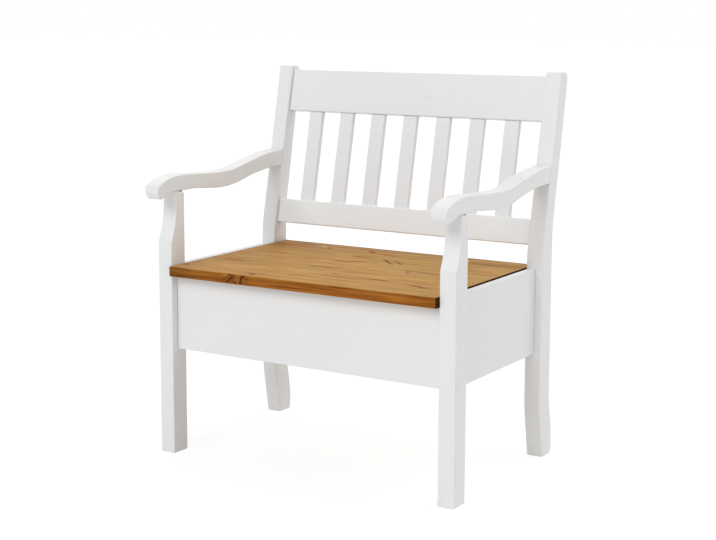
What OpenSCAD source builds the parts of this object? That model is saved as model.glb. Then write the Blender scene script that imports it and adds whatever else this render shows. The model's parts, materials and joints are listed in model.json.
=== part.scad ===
// Storage bench with armrests: white painted pine with a stained pine lid.
// All sizes are in millimetres. The bench faces -Y, X runs to its right seen from the front, Z is up.
// The origin is on the floor, in the middle of the overall width and depth.

/* [Overall] */
// Width over the outer faces of the legs
overall_width = 800; // [640:10:1200]
// Depth from the front face of the front legs to the rear face of the rear posts
frame_depth = 483; // [440:1:560]
// Height of the seat surface above the floor
seat_height = 460; // [420:5:500]
// Height of the tops of the rear posts above the floor
back_height = 915; // [860:5:1000]
// Thickness of the board that legs, posts and armrests are cut from
timber = 40; // [38:1:48]

/* [Front legs] */
// Depth of the front legs
leg_depth = 52; // [46:1:60]
// Height of the full leg above the seat, up to where it is cut back
leg_shoulder = 57; // [40:1:80]
// How far the front of the leg is cut back under the armrest
leg_neck = 21; // [10:1:24]
// Height over which the cut back runs out
neck_rise = 83; // [50:1:90]
// Opening between the armrest and the rear corner of the top of the leg
leg_top_gap = 4.5; // [0.5:0.5:6]

/* [Rear posts] */
// Depth of the straight part of the rear posts
post_depth = 55; // [50:1:65]
// Depth of the rear posts at their tops
post_top_depth = 39.5; // [38:0.5:48]
// Lean of the backrest, in degrees from upright
back_lean = 11.85; // [6:0.05:14]
// Height above the seat where the front faces of the posts start to lean
front_bend = 42.5; // [35:0.5:60]
// Height above the seat where the rear faces of the posts start to lean
rear_bend = 86; // [70:1:120]
// Height above the floor where the feet start to kick back
kick_height = 150; // [100:5:170]
// How far the front of the foot is kicked back at the floor
kick_front = 22; // [10:1:30]
// How far the rear of the foot is kicked back at the floor
kick_rear = 13; // [5:1:20]
// Radius of the rear corner at the top of the posts
post_round = 18; // [8:1:22]

/* [Armrests] */
// Height of the seat of the armrests on the front legs
arm_height = 635; // [620:1:680]
// Thickness of the armrests
arm_thick = 39; // [34:0.5:46]
// Rise of the armrests from the front legs to the rear posts
arm_rise = 23; // [10:1:40]
// Dip of the armrests behind the front legs
arm_dip = 8; // [0:0.5:12]
// How far the noses reach past the front legs
nose_reach = 47; // [35:1:60]
// Radius of the rolled nose
nose_round = 15; // [10:0.5:17]

/* [Backrest] */
// Thickness of both back rails
rail_thick = 22; // [18:1:24]
// Set-back of the rails behind the front faces of the posts
rail_setback = 9; // [5:0.5:10]
// Height of the crest rail
crest_height = 108; // [80:1:130]
// Height of the post tops above the crest rail
crest_drop = 8; // [4:1:20]
// Height of the lower rail
lower_rail_height = 61; // [45:1:80]
// Height of the lower edge of the lower rail above the seat
lower_rail_gap = 55; // [48:1:75]
// Number of slats
slat_count = 7; // [5:1:7]
// Width of a slat
slat_width = 38.5; // [25:0.5:45]
// Thickness of a slat
slat_thick = 14; // [10:0.5:16]
// Space between each end slat and its post
slat_end_gap = 61.5; // [40:0.5:75]
// Depth of a slat in each rail
slat_tenon = 12; // [8:1:16]

/* [Box] */
// Thickness of the panels
panel_thick = 18; // [15:1:20]
// Height of the lower edge of the panels above the floor
box_bottom = 256; // [200:5:280]
// Set-back of the side panels from the outer faces of the legs
side_inset = 17; // [12:0.5:18]
// Set-back of the front panel from the front faces of the legs
front_inset = 19; // [12:0.5:22]
// Set-back of the back panel from the rear faces of the posts
back_inset = 19; // [12:0.5:22]
// Distance of the upper edge of the side panels below the seat surface
side_drop = 1; // [0:0.5:6]
// Width and height of the cleats and of the rests under the lid
cleat = 20; // [16:1:24]
// Thickness of the box floor
floor_thick = 8; // [6:1:12]

/* [Seat] */
// Thickness of the lid and of the fixed strip behind it
seat_thick = 24; // [22:1:28]
// Overhang of the lid in front of the legs
lid_overhang = 12; // [5:1:20]
// Gap between the lid and the legs, posts and armrests on each side
lid_side_gap = 1.5; // [1:0.5:4]
// Depth of the fixed strip behind the lid
strip_depth = 61; // [55:1:90]
// Set-back of the fixed strip from the rear faces of the posts
strip_inset = 2; // [0:0.5:5]
// Gap between the lid and the fixed strip
seam = 1.5; // [1.2:0.1:3]
// Radius of the eased long edges of the seat boards
edge_round = 3; // [1:0.5:5]
// Width of a batten under the lid
batten_width = 40; // [30:1:60]
// Thickness of a batten
batten_thick = 18; // [15:1:20]
// Distance of each batten from the middle of the bench
batten_offset = 230; // [120:5:240]
// Space between the battens and the front and back of the box
batten_clear = 24; // [15:1:60]

/* [Hinges] */
// Distance between the middles of the two hinges
hinge_spacing = 402; // [200:1:480]
// Length of a hinge
hinge_length = 28; // [26:1:80]
// Number of knuckles of a hinge
knuckle_count = 5; // [3:2:7]
// Outer radius of a knuckle
knuckle_r = 3; // [2.6:0.1:3.6]
// Radius of a hinge pin
pin_r = 1.25; // [1:0.05:1.6]
// Running gap around a hinge pin
pin_gap = 0.05; // [0.02:0.01:0.1]
// Thickness of a hinge leaf
leaf_thick = 1.2; // [0.8:0.1:1.6]
// Height of a hinge leaf below the hinge axis
leaf_height = 20; // [17:0.5:21]
// Height of the hinge axis above the seat surface
axis_rise = 1; // [0.5:0.1:2]

/* [Dowels and screws] */
// Radius of the dowels in the panels and under the strip
dowel_r = 4; // [3:0.5:5]
// Length of the dowels in the panels and under the strip
dowel_length = 30; // [24:1:32]
// Radius of the dowels in the rails and armrests
long_dowel_r = 5; // [4:0.5:6]
// Length of the dowels in the rails and armrests
long_dowel_length = 40; // [30:1:44]
// Radius of the wood screws
screw_r = 2; // [1.5:0.25:2.25]
// Radius of the heads of the wood screws
screw_head_r = 4; // [3:0.25:4.5]
// Radius of the hinge screws
hinge_screw_r = 1.5; // [1:0.25:1.75]
// Radius of the heads of the hinge screws
hinge_head_r = 2.6; // [2.2:0.1:3]
// Length of the hinge screws
hinge_screw_length = 18; // [12:1:25]
// Wood left in front of the tip of a screw
screw_skin = 6; // [4:1:8]
// Gap around dowels, screws and slat tenons in their holes
hole_gap = 0.1; // [0.05:0.05:0.3]

/* [Hidden] */
$fn = 48;

paint = "#f4f4f1";
stain = "#c08a4a";
bare_pine = "#e6cfa0";
plywood = "#dcc79c";
beech = "#d9b88a";
brass = "#c9a64b";
zinc = "#c3c6c8";

// Extra reach of a cut past the face it opens
eps = 0.5;

// Widths, measured from the middle of the bench
half = overall_width / 2;
inner = half - timber;
panel_out = half - side_inset;
panel_in = panel_out - panel_thick;
panel_mid = panel_out - panel_thick / 2;
lid_half = inner - lid_side_gap;

// Depths, measured from the front faces of the front legs
post_front = frame_depth - post_depth;
front_face = front_inset;
front_inside = front_face + panel_thick;
back_outside = frame_depth - back_inset;
back_inside = back_outside - panel_thick;
strip_back = frame_depth - strip_inset;
seam_y = strip_back - strip_depth;
lid_front = -lid_overhang;
lid_back = seam_y - seam / 2;
strip_front = seam_y + seam / 2;

// Heights
seat_under = seat_height - seat_thick;
side_top = seat_height - side_drop;
floor_under = box_bottom + cleat;
axis_z = seat_height + axis_rise;
front_bend_z = seat_height + front_bend;
rear_bend_z = seat_height + rear_bend;

// Depth of the leaning front face of a rear post at a height
function lean_front(z) = post_front + (z - front_bend_z) * tan(back_lean);

// Slope of the leaning rear face of a rear post, and its depth at a height
rear_slope = (lean_front(back_height) + post_top_depth - frame_depth) / (back_height - rear_bend_z);
function lean_rear(z) = frame_depth + (z - rear_bend_z) * rear_slope;
rear_lean = atan(rear_slope);

// Middle of the round corner at the top of a rear post, and the bench's reach behind it
post_round_z = back_height - post_round;
post_round_y = lean_rear(post_round_z) - post_round / cos(rear_lean);
rear_reach = post_round_y + post_round;

// The model is moved so that the middle of the whole depth lies on the origin
shift_y = (nose_reach - rear_reach) / 2;

// Points of an arc, a cubic curve and a smooth line through given points
function arc(centre, r, from, to, steps) =
    [for (i = [0:steps]) let (a = from + (to - from) * i / steps) centre + r * [cos(a), sin(a)]];
function cubic(a, b, c, d, steps) =
    [for (i = [0:steps]) let (t = i / steps, u = 1 - t)
        u * u * u * a + 3 * u * u * t * b + 3 * u * t * t * c + t * t * t * d];
function smooth_step(a, b, c, d, t) =
    0.5 * (2 * b + (c - a) * t + (2 * a - 5 * b + 4 * c - d) * t * t + (3 * b - a - 3 * c + d) * t * t * t);
// The first and the last point only steer the ends of the line
function smooth(p, steps) = [
    for (i = [1:len(p) - 3], s = [0:steps - 1]) smooth_step(p[i - 1], p[i], p[i + 1], p[i + 2], s / steps),
    p[len(p) - 2]
];
function reversed(p) = [for (i = [len(p) - 1:-1:0]) p[i]];

// Points of a rounded bend between an upright line and a line of the given slope above it
function bend(y, z, slope, reach, steps) =
    let (a = atan(slope), end = [y + reach * sin(a), z + reach * cos(a)])
    [for (i = [0:steps]) let (t = i / steps, u = 1 - t)
        u * u * [y, z - reach] + 2 * u * t * [y, z] + t * t * end];

// Draws on the right-hand side of the bench, or mirrored on the left
module on_side(side) {
    if (side > 0) children();
    else mirror([1, 0, 0]) children();
}

// Moves pieces drawn from the front faces of the legs into the model's frame
module placed() {
    translate([0, shift_y, 0]) children();
}

// Extrudes an outline drawn in depth and height into a piece from x = from to x = to
module cross_cut(from, to) {
    translate([from, 0, 0]) rotate([90, 0, 90]) linear_extrude(to - from) children();
}

// A square-edged board between two corners
module board(low, high) {
    translate(low) cube(high - low);
}

// A rectangle with round corners, from its lower corner
module round_rect(size, r) {
    translate([r, r]) square(size - [2 * r, 2 * r]);
    for (x = [r, size.x - r], y = [r, size.y - r]) translate([x, y]) circle(r);
    translate([r, 0]) square([size.x - 2 * r, size.y]);
    translate([0, r]) square([size.x, size.y - 2 * r]);
}

// The leaning frame of the backrest: z runs up the front faces of the posts, y goes in behind them
module leaning() {
    translate([0, post_front, front_bend_z]) rotate([-back_lean, 0, 0]) children();
}

// A height above the floor, given as a distance up the leaning frame
function up_lean(z) = (z - front_bend_z) / cos(back_lean);

// Backrest sizes in the leaning frame
crest_top = up_lean(back_height - crest_drop);
crest_low = crest_top - crest_height;
lower_low = up_lean(seat_height + lower_rail_gap);
lower_top = lower_low + lower_rail_height;
rail_mid = rail_setback + rail_thick / 2;
slat_pitch = (2 * inner - 2 * slat_end_gap - slat_width) / (slat_count - 1);

// Cylinders along each axis, with their middle at a place
module pin_x(at, r, length) {
    translate(at - [length / 2, 0, 0]) rotate([0, 90, 0]) cylinder(r = r, h = length);
}
module pin_y(at, r, length) {
    translate(at - [0, length / 2, 0]) rotate([-90, 0, 0]) cylinder(r = r, h = length);
}
module pin_z(at, r, length) {
    translate(at - [0, 0, length / 2]) cylinder(r = r, h = length);
}

// A countersunk screw that points down from the surface it is driven into, or its hole with a gap
module screw(length, r, head_r, gap = 0) {
    lift = gap > 0 ? eps : 0;
    rotate_extrude() polygon([
        [0, lift], [head_r + gap, lift], [head_r + gap, 0], [r + gap, r - head_r],
        [r + gap, r - length], [0, -length - gap],
    ]);
}

// Dowels

// Heights of the dowels that join a panel with a leg or post; the two directions are staggered
dowel_zs = [for (share = [0.15, 0.5, 0.85]) box_bottom + share * (seat_under - box_bottom)];
stagger = 12;

// Dowels of one front corner, from the front leg into the front panel and the side panel
module front_corner_dowels(side, gap = 0) {
    on_side(side) for (z = dowel_zs) {
        pin_x([inner, front_face + panel_thick / 2, z], dowel_r + gap, dowel_length + 2 * gap);
        pin_y([panel_mid, leg_depth, z - stagger], dowel_r + gap, dowel_length + 2 * gap);
    }
}

// Dowels of one rear corner, from the rear post into the back panel and the side panel
module rear_corner_dowels(side, gap = 0) {
    on_side(side) for (z = dowel_zs) {
        pin_x([inner, back_outside - panel_thick / 2, z], dowel_r + gap, dowel_length + 2 * gap);
        pin_y([panel_mid, post_front, z - stagger], dowel_r + gap, dowel_length + 2 * gap);
    }
}

// Dowels between the top of the back panel and the fixed strip
module strip_dowel_row(gap = 0) {
    for (share = [-0.84, -0.28, 0.28, 0.84])
        pin_z([share * inner, back_outside - panel_thick / 2, seat_under],
            dowel_r + gap, dowel_length + 2 * gap);
}

// Dowels between one rear post and both rails
module rail_dowels_at(side, gap = 0) {
    rails = [[crest_low, crest_height], [lower_low, lower_rail_height]];
    on_side(side) leaning() for (rail = rails, share = [0.25, 0.75])
        pin_x([inner, rail_mid, rail[0] + share * rail[1]],
            long_dowel_r + gap, long_dowel_length + 2 * gap);
}

// Dowels of one armrest: one up from the front leg, two back into the rear post
module armrest_dowels_at(side, gap = 0) {
    arm_mid = half - timber / 2;
    on_side(side) {
        pin_z([arm_mid, (leg_neck + leg_depth) / 2, arm_height],
            long_dowel_r + gap, long_dowel_length + 2 * gap);
        leaning() for (share = [0.28, 0.72])
            pin_y([arm_mid, 0, arm_end_low + share * (arm_end_top - arm_end_low)],
                long_dowel_r + gap, long_dowel_length + 2 * gap);
    }
}

module panel_dowels() {
    color(beech) placed() for (side = [-1, 1]) {
        front_corner_dowels(side);
        rear_corner_dowels(side);
    }
}

module strip_dowels() {
    color(beech) placed() strip_dowel_row();
}

module rail_dowels() {
    color(beech) placed() for (side = [-1, 1]) rail_dowels_at(side);
}

module armrest_dowels() {
    color(beech) placed() for (side = [-1, 1]) armrest_dowels_at(side);
}

// Legs, posts and armrests

// Depth over which the top of the leg carries the armrest; behind it the top slopes away
leg_top_flat = 8;

// Front leg, seen from the side: cut back in front, from the shoulder up to the armrest
module front_leg_outline() {
    shoulder = seat_height + leg_shoulder;
    neck_top = min(shoulder + neck_rise, arm_height);
    polygon(concat(
        [[0, 0], [leg_depth, 0], [leg_depth, arm_height - leg_top_gap]],
        [[leg_neck + leg_top_flat, arm_height], [leg_neck, arm_height]],
        reversed(cubic([0, shoulder], [0.62 * leg_neck, shoulder + 0.36 * (neck_top - shoulder)],
            [leg_neck, neck_top - 0.4 * (neck_top - shoulder)], [leg_neck, neck_top], 10))
    ));
}

module front_leg(side) {
    color(paint) placed() difference() {
        on_side(side) cross_cut(inner, half) front_leg_outline();
        front_corner_dowels(side, hole_gap);
        armrest_dowels_at(side, hole_gap);
    }
}

module front_leg_left() { front_leg(-1); }
module front_leg_right() { front_leg(1); }

// Rear post, seen from the side: kicked-back foot, straight part, leaning and tapering upper part
module rear_post_outline() {
    bend_reach = 30;
    corner = 4;
    post_top_front = lean_front(back_height - corner) + corner / cos(back_lean);
    polygon(concat(
        cubic([frame_depth + kick_rear, 0], [frame_depth + 2 * kick_rear, 0.37 * kick_height],
            [frame_depth, 0.73 * kick_height], [frame_depth, kick_height], 12),
        bend(frame_depth, rear_bend_z, rear_slope, bend_reach, 6),
        arc([post_round_y, post_round_z], post_round, -rear_lean, 90, 8),
        arc([post_top_front, back_height - corner], corner, 90, 180 - back_lean, 4),
        reversed(bend(post_front, front_bend_z, tan(back_lean), bend_reach, 6)),
        cubic([post_front, kick_height], [post_front, 0.73 * kick_height],
            [post_front + 0.6 * kick_front, 0.37 * kick_height], [post_front + kick_front, 0], 12)
    ));
}

module rear_post(side) {
    color(paint) placed() difference() {
        on_side(side) cross_cut(inner, half) rear_post_outline();
        rear_corner_dowels(side, hole_gap);
        rail_dowels_at(side, hole_gap);
        armrest_dowels_at(side, hole_gap);
    }
}

module rear_post_left() { rear_post(-1); }
module rear_post_right() { rear_post(1); }

// Rear end of an armrest on the leaning front face of the post
arm_end_under = arm_height + arm_rise;
arm_end_over = arm_end_under + arm_thick + 4;
arm_end_low = up_lean(arm_end_under);
arm_end_top = up_lean(arm_end_over);
arm_end_y = lean_front(arm_end_under);

// Armrest, seen from the side; z is measured from the top of the front leg, and the points behind
// the dip follow the rear post
module armrest_outline() {
    nose = [nose_round - nose_reach, 7];
    lip = nose + [-2, -22];
    flat_end = leg_depth + 43;
    low_y = arm_end_y - 253;
    end_top = arm_end_over - arm_height;
    under_front = smooth([
        lip + [-14, -6], lip, lip + [16, 6.5], [0, -3.6], [leg_neck - 6, 0], [leg_neck + 40, 0]
    ], 4);
    under_back = smooth([
        [flat_end - 60, 0], [flat_end, 0], [(flat_end + low_y) / 2, -0.6 * arm_dip], [low_y, -arm_dip],
        [low_y + 60, 0.13 * arm_rise - 0.7 * arm_dip], [low_y + 125, 0.5 * arm_rise],
        [low_y + 195, 0.91 * arm_rise], [arm_end_y, arm_rise], [arm_end_y + 50, arm_rise]
    ], 5);
    over = smooth([
        nose + [-20, 2], nose + nose_round * [cos(118), sin(118)], nose + [5, 19.5],
        [-10, arm_thick - 6.3], [15, arm_thick - 1.8], [50, arm_thick - 0.5],
        [flat_end + 10, arm_thick - 3.5], [(flat_end + low_y) / 2, arm_thick - 0.8 * arm_dip],
        [low_y, arm_thick - 0.95 * arm_dip],
        [low_y + 45, arm_thick - 0.7 * arm_dip], [low_y + 90, arm_thick + 0.15 * arm_rise],
        [low_y + 140, arm_thick + 0.55 * arm_rise], [low_y + 190, arm_thick + 0.93 * arm_rise],
        [arm_end_y - 25, end_top - 2.5], [lean_front(arm_end_over), end_top], [arm_end_y + 60, end_top + 2]
    ], 4);
    translate([0, arm_height]) polygon(concat(
        under_front, under_back, reversed(over), arc(nose, nose_round, 124, 214, 7)
    ));
}

module armrest(side) {
    color(paint) placed() difference() {
        on_side(side) cross_cut(inner, half) armrest_outline();
        armrest_dowels_at(side, hole_gap);
    }
}

module armrest_left() { armrest(-1); }
module armrest_right() { armrest(1); }

// Backrest

// Middle of a slat across the bench, counted from the left
function slat_x(i) = slat_end_gap - inner + slat_width / 2 + i * slat_pitch;

// A slat with both tenons, or its mortises with a gap
module slat_body(i, gap = 0) {
    size = [slat_width + 2 * gap, slat_thick + 2 * gap];
    low = lower_top - slat_tenon - gap;
    leaning() translate([slat_x(i) - size.x / 2, rail_mid - size.y / 2, low])
        linear_extrude(crest_low + slat_tenon + gap - low) round_rect(size, 2);
}

module slat(i) {
    color(paint) placed() slat_body(i);
}

module back_slat_1() { slat(0); }
module back_slat_2() { slat(1); }
module back_slat_3() { slat(2); }
module back_slat_4() { slat(3); }
module back_slat_5() { slat(4); }
module back_slat_6() { slat(5); }
module back_slat_7() { slat(6); }

// Radius of the eased long edges of the rails
rail_round = 3;

// A rail between the posts with eased long edges, mortised for the slats
module rail(low, height) {
    color(paint) placed() difference() {
        leaning() translate([0, rail_setback, low]) cross_cut(-inner, inner)
            round_rect([rail_thick, height], rail_round);
        for (i = [0:slat_count - 1]) slat_body(i, hole_gap);
        for (side = [-1, 1]) rail_dowels_at(side, hole_gap);
    }
}

module crest_rail() { rail(crest_low, crest_height); }
module lower_back_rail() { rail(lower_low, lower_rail_height); }

// Box under the seat

module front_panel() {
    color(paint) placed() difference() {
        board([-inner, front_face, box_bottom], [inner, front_inside, seat_under]);
        for (side = [-1, 1]) front_corner_dowels(side, hole_gap);
        front_cleat_screws(hole_gap);
    }
}

module back_panel() {
    color(paint) placed() difference() {
        board([-inner, back_inside, box_bottom], [inner, back_outside, seat_under]);
        for (side = [-1, 1]) rear_corner_dowels(side, hole_gap);
        strip_dowel_row(hole_gap);
        back_cleat_screws(hole_gap);
    }
}

module side_panel(side) {
    color(paint) placed() difference() {
        on_side(side) board([panel_in, leg_depth, box_bottom], [panel_out, post_front, side_top]);
        front_corner_dowels(side, hole_gap);
        rear_corner_dowels(side, hole_gap);
        side_cleat_screws(side, hole_gap);
        lid_rest_screws(side, hole_gap);
    }
}

module side_panel_left() { side_panel(-1); }
module side_panel_right() { side_panel(1); }

module box_floor() {
    floor_gap = 1;
    color(plywood) placed() difference() {
        board([floor_gap - inner, front_inside + floor_gap, floor_under],
            [inner - floor_gap, back_inside - floor_gap, floor_under + floor_thick]);
        floor_screw_set(hole_gap);
    }
}

module floor_cleat_front() {
    color(bare_pine) placed() difference() {
        board([-inner, front_inside, box_bottom], [inner, front_inside + cleat, floor_under]);
        front_cleat_screws(hole_gap);
        floor_screw_set(hole_gap);
    }
}

module floor_cleat_back() {
    color(bare_pine) placed() difference() {
        board([-inner, back_inside - cleat, box_bottom], [inner, back_inside, floor_under]);
        back_cleat_screws(hole_gap);
        floor_screw_set(hole_gap);
    }
}

module floor_cleat(side) {
    color(bare_pine) placed() difference() {
        on_side(side) board([panel_in - cleat, side_cleat_front, box_bottom],
            [panel_in, side_cleat_back, floor_under]);
        side_cleat_screws(side, hole_gap);
    }
}

module floor_cleat_left() { floor_cleat(-1); }
module floor_cleat_right() { floor_cleat(1); }

module lid_rest(side) {
    color(bare_pine) placed() difference() {
        on_side(side) board([panel_in - cleat, leg_depth, seat_under - cleat],
            [panel_in, post_front, seat_under]);
        lid_rest_screws(side, hole_gap);
    }
}

module lid_rest_left() { lid_rest(-1); }
module lid_rest_right() { lid_rest(1); }

// The side cleats fit between the front and the back cleat, and clear the legs and posts
side_cleat_front = max(front_inside + cleat, leg_depth);
side_cleat_back = min(back_inside - cleat, post_front);

// Screws of the box

cleat_screw_length = cleat + panel_thick - screw_skin;
cleat_screw_z = box_bottom + cleat / 2;
cleat_shares = [-0.8, -0.25, 0.25, 0.8];

module wood_screw(length, gap) {
    screw(length, screw_r, screw_head_r, gap);
}

module front_cleat_screws(gap = 0) {
    for (share = cleat_shares) translate([share * inner, front_inside + cleat, cleat_screw_z])
        rotate([-90, 0, 0]) wood_screw(cleat_screw_length, gap);
}

module back_cleat_screws(gap = 0) {
    for (share = cleat_shares) translate([share * inner, back_inside - cleat, cleat_screw_z])
        rotate([90, 0, 0]) wood_screw(cleat_screw_length, gap);
}

// A row of screws through a piece on the inner face of a side panel
module side_row(side, from, to, z, gap) {
    on_side(side) for (share = [0.12, 0.5, 0.88])
        translate([panel_in - cleat, from + share * (to - from), z])
            rotate([0, -90, 0]) wood_screw(cleat_screw_length, gap);
}

module side_cleat_screws(side, gap = 0) {
    side_row(side, side_cleat_front, side_cleat_back, cleat_screw_z, gap);
}

module lid_rest_screws(side, gap = 0) {
    side_row(side, leg_depth, post_front, seat_under - cleat / 2, gap);
}

module cleat_screws() {
    color(zinc) placed() {
        front_cleat_screws();
        back_cleat_screws();
        for (side = [-1, 1]) {
            side_cleat_screws(side);
            lid_rest_screws(side);
        }
    }
}

// Screws down through the box floor into the front and back cleats
module floor_screw_set(gap = 0) {
    for (share = [-0.9, -0.45, 0, 0.45, 0.9], y = [front_inside + cleat / 2, back_inside - cleat / 2])
        translate([share * inner, y, floor_under + floor_thick])
            wood_screw(floor_thick + cleat - screw_skin, gap);
}

module floor_screws() {
    color(zinc) placed() floor_screw_set();
}

// Seat

// Recesses in both seat boards for the knuckles and leaves of the hinges
module hinge_recess(side) {
    clear = 0.3;
    length = hinge_length + 2 * clear;
    on_side(side) translate([hinge_spacing / 2, 0, 0]) {
        pin_x([0, seam_y, axis_z], knuckle_r + clear, length);
        for (low = [lid_back - leaf_thick, strip_front - eps])
            board([-length / 2, low, axis_z - leaf_height - clear],
                [length / 2, low + leaf_thick + eps, axis_z]);
    }
}

module seat_board(from, to) {
    translate([0, from, seat_under]) cross_cut(-lid_half, lid_half)
        round_rect([to - from, seat_thick], edge_round);
}

// The rear edge of the lid and the front edge of the strip stay square at the seam
module seat_strip() {
    color(stain) placed() difference() {
        union() {
            seat_board(strip_front, strip_back);
            board([-lid_half, strip_front, seat_under],
                [lid_half, strip_front + 2 * edge_round, seat_height]);
        }
        for (side = [-1, 1]) hinge_recess(side);
        strip_dowel_row(hole_gap);
        hinge_screw_set(1, hole_gap);
    }
}

module lid() {
    color(stain) placed() difference() {
        union() {
            seat_board(lid_front, lid_back);
            board([-lid_half, lid_back - 2 * edge_round, seat_under], [lid_half, lid_back, seat_height]);
        }
        for (side = [-1, 1]) hinge_recess(side);
        batten_screw_set(hole_gap);
        hinge_screw_set(-1, hole_gap);
    }
}

batten_low = front_inside + batten_clear;
batten_high = back_inside - cleat - batten_clear;

module lid_batten(side) {
    color(bare_pine) placed() difference() {
        on_side(side) translate([batten_offset, 0, 0])
            board([-batten_width / 2, batten_low, seat_under - batten_thick],
                [batten_width / 2, batten_high, seat_under]);
        batten_screw_set(hole_gap);
    }
}

module lid_batten_left() { lid_batten(-1); }
module lid_batten_right() { lid_batten(1); }

// Screws up through the battens into the lid
module batten_screw_set(gap = 0) {
    for (side = [-1, 1], share = [0.1, 0.5, 0.9])
        translate([side * batten_offset, batten_low + share * (batten_high - batten_low),
            seat_under - batten_thick])
            rotate([180, 0, 0]) wood_screw(batten_thick + seat_thick - screw_skin, gap);
}

module batten_screws() {
    color(zinc) placed() batten_screw_set();
}

// Hinges

knuckle_length = hinge_length / knuckle_count;
knuckle_play = 0.3;
leaf_low = axis_z - leaf_height;

// One leaf: every second knuckle belongs to it. The leaf lies flush in its seat board, and facing
// is 1 for the leaf on the strip and -1 for the leaf on the lid
module hinge_leaf(side, facing) {
    leaf_y = seam_y + facing * (seam + leaf_thick) / 2;
    leaf_top = axis_z - knuckle_r - knuckle_play;
    first = facing > 0 ? 0 : 1;
    color(brass) placed() difference() {
        on_side(side) translate([hinge_spacing / 2, 0, 0]) {
            board([-hinge_length / 2, leaf_y - leaf_thick / 2, leaf_low],
                [hinge_length / 2, leaf_y + leaf_thick / 2, leaf_top]);
            for (i = [first:2:knuckle_count - 1]) {
                low = -hinge_length / 2 + i * knuckle_length + knuckle_play / 2;
                high = low + knuckle_length - knuckle_play;
                difference() {
                    union() {
                        pin_x([(low + high) / 2, seam_y, axis_z], knuckle_r, high - low);
                        board([low, leaf_y - leaf_thick / 2, leaf_low],
                            [high, leaf_y + leaf_thick / 2, axis_z]);
                    }
                    pin_x([(low + high) / 2, seam_y, axis_z], pin_r + pin_gap, high - low + 2 * eps);
                }
            }
        }
        hinge_screw_set(facing, hole_gap);
    }
}

module hinge_fixed_leaf_left() { hinge_leaf(-1, 1); }
module hinge_fixed_leaf_right() { hinge_leaf(1, 1); }
module hinge_lid_leaf_left() { hinge_leaf(-1, -1); }
module hinge_lid_leaf_right() { hinge_leaf(1, -1); }

module hinge_pin(side) {
    color(brass) placed() on_side(side) pin_x([hinge_spacing / 2, seam_y, axis_z], pin_r, hinge_length);
}

module hinge_pin_left() { hinge_pin(-1); }
module hinge_pin_right() { hinge_pin(1); }

// Screws through the leaves on one side of the seam, into the strip or into the lid
module hinge_screw_set(facing, gap = 0) {
    for (side = [-1, 1], share = [-0.36, 0, 0.36])
        translate([side * hinge_spacing / 2 + share * hinge_length, seam_y + facing * seam / 2,
            (leaf_low + axis_z - knuckle_r) / 2])
            rotate([facing * 90, 0, 0]) screw(hinge_screw_length, hinge_screw_r, hinge_head_r, gap);
}

module hinge_screws_strip() {
    color(zinc) placed() hinge_screw_set(1);
}

module hinge_screws_lid() {
    color(zinc) placed() hinge_screw_set(-1);
}

front_leg_left();
front_leg_right();
rear_post_left();
rear_post_right();
armrest_left();
armrest_right();
crest_rail();
lower_back_rail();
back_slat_1();
back_slat_2();
back_slat_3();
back_slat_4();
back_slat_5();
back_slat_6();
back_slat_7();
front_panel();
back_panel();
side_panel_left();
side_panel_right();
box_floor();
floor_cleat_front();
floor_cleat_back();
floor_cleat_left();
floor_cleat_right();
lid_rest_left();
lid_rest_right();
seat_strip();
lid();
lid_batten_left();
lid_batten_right();
hinge_fixed_leaf_left();
hinge_fixed_leaf_right();
hinge_lid_leaf_left();
hinge_lid_leaf_right();
hinge_pin_left();
hinge_pin_right();
panel_dowels();
strip_dowels();
rail_dowels();
armrest_dowels();
cleat_screws();
floor_screws();
batten_screws();
hinge_screws_strip();
hinge_screws_lid();
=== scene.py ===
"""Looks of a storage bench with armrests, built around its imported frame."""
import json
import math

import bmesh
import bpy
from mathutils import Matrix, Vector
from mathutils.geometry import delaunay_2d_cdt


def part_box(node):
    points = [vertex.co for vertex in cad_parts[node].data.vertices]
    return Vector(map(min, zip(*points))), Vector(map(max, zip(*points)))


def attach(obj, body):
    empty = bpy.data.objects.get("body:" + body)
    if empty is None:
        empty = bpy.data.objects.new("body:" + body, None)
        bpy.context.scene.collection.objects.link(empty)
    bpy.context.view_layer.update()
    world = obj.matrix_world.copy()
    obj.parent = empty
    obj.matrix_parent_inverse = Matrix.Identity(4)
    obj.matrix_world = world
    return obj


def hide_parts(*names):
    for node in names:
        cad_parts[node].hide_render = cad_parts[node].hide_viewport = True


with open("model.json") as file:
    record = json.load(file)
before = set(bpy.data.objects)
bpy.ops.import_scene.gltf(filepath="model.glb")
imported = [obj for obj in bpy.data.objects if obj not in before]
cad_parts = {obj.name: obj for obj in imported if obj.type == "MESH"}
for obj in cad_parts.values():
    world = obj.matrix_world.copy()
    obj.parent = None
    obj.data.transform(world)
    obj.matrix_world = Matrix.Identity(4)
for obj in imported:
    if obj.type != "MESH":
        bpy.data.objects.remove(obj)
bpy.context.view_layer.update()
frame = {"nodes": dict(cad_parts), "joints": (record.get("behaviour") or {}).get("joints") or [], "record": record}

FRAME_BODY = "bench_frame"
LID_BODY = "seat_lid"
MM = 0.001

# Facts of the frame. Depths on the bench are measured from the front faces of the front legs
nodes = frame["nodes"]
front_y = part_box("front_leg_left")[0].y
lid_low, lid_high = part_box("lid")
strip_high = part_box("seat_strip")[1]
seat_top = strip_high.z
hinge_at = Vector(frame["joints"][0]["pos_m"])


# Outlines. Lengths are in metres, and turns of an outline in degrees

# Places this near a plane lie on it, and places with the same rounded digits are one place
FLAT = 2e-5
PLACE_DIGITS = 6
# Points that turn less are left out
STRAIGHT_TURN = 0.05
# Points that turn more are corners, and so are slight turns far from both neighbours
SHARP_TURN = 40
SLIGHT_TURN, SLIGHT_TURN_REACH = 10.5, 0.005
# A longer chord is a straight run
LONG = 0.02
CURVE_STEP, MOST_CURVE_STEPS = 0.0025, 5
ARC_STEPS = 6
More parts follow.
